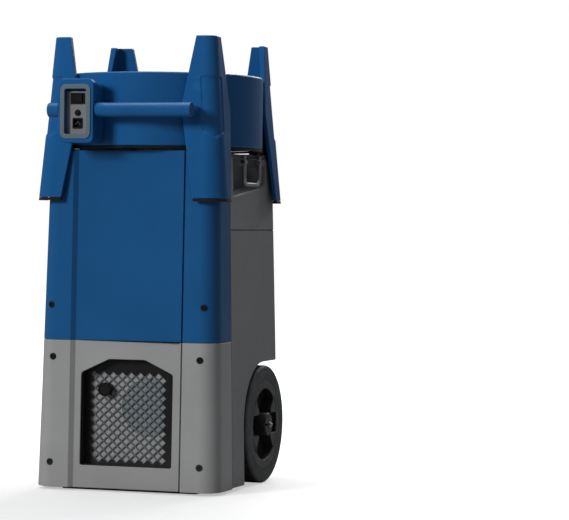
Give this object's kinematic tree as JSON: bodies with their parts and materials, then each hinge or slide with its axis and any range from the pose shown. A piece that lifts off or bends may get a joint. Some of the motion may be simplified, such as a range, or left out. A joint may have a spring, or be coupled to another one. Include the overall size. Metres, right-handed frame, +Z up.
{
  "type": "portable dehumidifier",
  "caption": "Wheeled tower dehumidifier with a front air inlet behind a diamond mesh, and a stackable ring fan unit on four tapered legs docked on its top.",
  "frame": {"origin": "on the floor, below the middle of the overall bounding box", "axes": "+Z up, -Y out of the front with the air inlet and switch box, +X the side with the visible wheel (the right seen from the front)"},
  "size_m": [0.426, 0.4976, 0.946],
  "materials": {
    "blue_plastic": "satin",
    "silver_plastic": "satin",
    "graphite_plastic": "matt, finely textured",
    "black_plastic": "matt",
    "grey_plastic": "satin",
    "tyre_rubber": "matt",
    "black_rubber": "matt",
    "black_metal": "powder coat",
    "grille_metal": "powder coat",
    "frame_steel": "satin",
    "coil_aluminium": "mill",
    "copper": "drawn",
    "filter_cloth": "fibrous",
    "dark_lens": "gloss"
  },
  "bodies": {
    "tower": {"main_housing": "graphite_plastic", "upper_front_cover": "blue_plastic", "lower_front_cover": "silver_plastic", "right_frame_rail": "frame_steel", "left_frame_rail": "frame_steel", "base_pan": "graphite_plastic", "front_skid": "black_rubber", "top_deck": "graphite_plastic", "inlet_frame": "black_plastic", "inlet_grille": "grille_metal", "drain_port": "black_plastic", "air_filter": "filter_cloth", "evaporator_coil": "coil_aluminium", "condenser_coil": "coil_aluminium", "drip_tray": "grey_plastic", "compressor": "black_metal", "refrigerant_line": "copper", "condensate_pump": "grey_plastic", "blower_housing": "grey_plastic", "blower_motor": "frame_steel", "control_panel": "black_plastic", "display_lens": "dark_lens", "power_inlet": "black_plastic", "upper_left_screw": "black_metal", "upper_right_screw": "black_metal", "middle_left_screw": "black_metal", "middle_right_screw": "black_metal", "bottom_left_screw": "black_metal", "bottom_right_screw": "black_metal", "right_axle": "frame_steel", "left_axle": "frame_steel"},
    "fan_unit": {"fan_housing": "blue_plastic", "rear_right_foot": "black_rubber", "rear_left_foot": "black_rubber", "front_left_foot": "black_rubber", "front_right_foot": "black_rubber", "carry_handle": "blue_plastic", "ring_seal": "black_rubber", "switch_bezel": "grey_plastic", "switch_plate": "grey_plastic", "rocker_frame": "black_plastic", "power_socket": "black_plastic", "fan_guard": "black_metal", "motor_bracket": "black_metal", "fan_motor": "black_metal"},
    "fan_rotor": {"fan_impeller": "black_plastic"},
    "rocker_switch": {"rocker": "black_plastic"},
    "breaker": {"breaker_button": "black_plastic"},
    "right_wheel": {"right_tyre": "tyre_rubber", "right_rim": "black_plastic", "right_hub_cap": "grey_plastic"},
    "left_wheel": {"left_tyre": "tyre_rubber", "left_rim": "black_plastic", "left_hub_cap": "grey_plastic"},
    "blower_rotor": {"blower_wheel": "black_plastic"},
    "right_handle": {"right_side_handle": "frame_steel"},
    "left_handle": {"left_side_handle": "frame_steel"},
    "down_key": {"down_button": "grey_plastic"},
    "power_key": {"power_button": "grey_plastic"},
    "up_key": {"up_button": "grey_plastic"}
  },
  "joints": [
    {"name": "fan_unit_lift", "type": "slide", "parent": "tower", "child": "fan_unit", "axis": [0, 0, 1], "range_m": [0, 0.2]},
    {"name": "fan_spin", "type": "hinge", "parent": "fan_unit", "child": "fan_rotor", "pos_m": [0, 0.01775, 0.822], "axis": [0, 0, 1], "continuous": true},
    {"name": "rocker_tilt", "type": "hinge", "parent": "fan_unit", "child": "rocker_switch", "pos_m": [-0.0915, -0.23085, 0.8135], "axis": [0, 0, 1], "range_deg": [-6, 6]},
    {"name": "breaker_press", "type": "slide", "parent": "fan_unit", "child": "breaker", "axis": [0, 1, 0], "range_m": [0, 0.003]},
    {"name": "right_wheel_spin", "type": "hinge", "parent": "tower", "child": "right_wheel", "pos_m": [0.181, 0.12175, 0.127], "axis": [1, 0, 0], "continuous": true},
    {"name": "left_wheel_spin", "type": "hinge", "parent": "tower", "child": "left_wheel", "pos_m": [-0.181, 0.12175, 0.127], "axis": [1, 0, 0], "continuous": true},
    {"name": "blower_spin", "type": "hinge", "parent": "tower", "child": "blower_rotor", "pos_m": [0.042, -0.06425, 0.172], "axis": [0, 1, 0], "continuous": true},
    {"name": "right_handle_swing", "type": "hinge", "parent": "tower", "child": "right_handle", "pos_m": [0.184, 0.07025, 0.691], "axis": [0, -1, 0], "range_deg": [0, 80]},
    {"name": "left_handle_swing", "type": "hinge", "parent": "tower", "child": "left_handle", "pos_m": [-0.184, 0.07025, 0.691], "axis": [0, 1, 0], "range_deg": [0, 80]},
    {"name": "down_press", "type": "slide", "parent": "tower", "child": "down_key", "axis": [0, -1, 0], "range_m": [0, 0.0015]},
    {"name": "power_press", "type": "slide", "parent": "tower", "child": "power_key", "axis": [0, -1, 0], "range_m": [0, 0.0015]},
    {"name": "up_press", "type": "slide", "parent": "tower", "child": "up_key", "axis": [0, -1, 0], "range_m": [0, 0.0015]}
  ]
}
